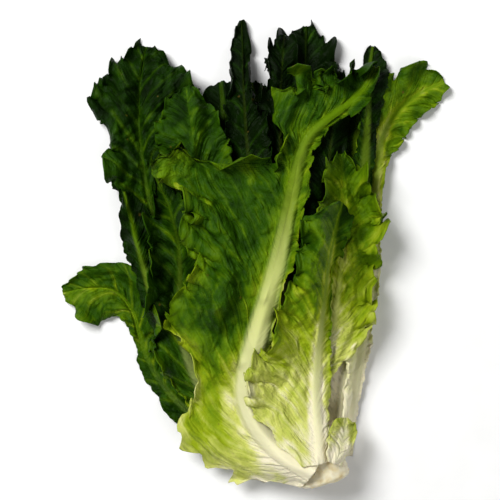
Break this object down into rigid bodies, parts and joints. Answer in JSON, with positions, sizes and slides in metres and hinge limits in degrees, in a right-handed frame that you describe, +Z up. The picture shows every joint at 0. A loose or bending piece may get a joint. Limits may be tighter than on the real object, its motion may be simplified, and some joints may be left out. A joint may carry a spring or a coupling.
{
  "type": "head of cos lettuce",
  "caption": "Cos lettuce head lying on its side: long ruffled leaves with pale ribs, fanned out from a short cut stem.",
  "frame": {"origin": "centre of the footprint, on the surface that the head lies on", "axes": "+Y from the cut stem towards the leaf tips, +Z up from the surface, +X to the right seen from above with the tips away"},
  "size_m": [0.2718, 0.3218, 0.0752],
  "materials": {
    "stem_cream": "moist cut flesh, satin",
    "leaf_dark": "waxy dark green blade with fine veins, satin",
    "leaf_mid": "waxy mid green blade grading to a pale rib, satin",
    "leaf_lime": "thin blistered yellow-green blade, satin",
    "heart_pale": "tender pale yellow-green blade, satin"
  },
  "bodies": {
    "root": {"cut_stem": "stem_cream", "left_lower_leaf": "leaf_dark", "left_tall_leaf": "leaf_dark", "upper_back_leaf_left": "leaf_dark", "upper_back_leaf_right": "leaf_dark", "upper_middle_leaf": "leaf_dark", "upper_right_leaf": "leaf_dark", "left_front_leaf": "leaf_dark", "inner_right_leaf": "leaf_dark", "table_leaf_middle": "leaf_mid", "table_leaf_left": "leaf_mid", "table_leaf_right": "leaf_mid", "table_leaf_upper": "leaf_mid", "left_inner_leaf": "leaf_mid", "left_middle_leaf": "leaf_mid", "front_leaf": "leaf_mid", "right_leaf": "leaf_lime", "right_front_leaf": "leaf_lime", "heart_front_leaf": "leaf_lime", "heart_leaf_left": "heart_pale", "heart_leaf_middle": "heart_pale", "heart_leaf_right": "heart_pale", "small_heart_leaf": "heart_pale"}
  },
  "joints": []
}
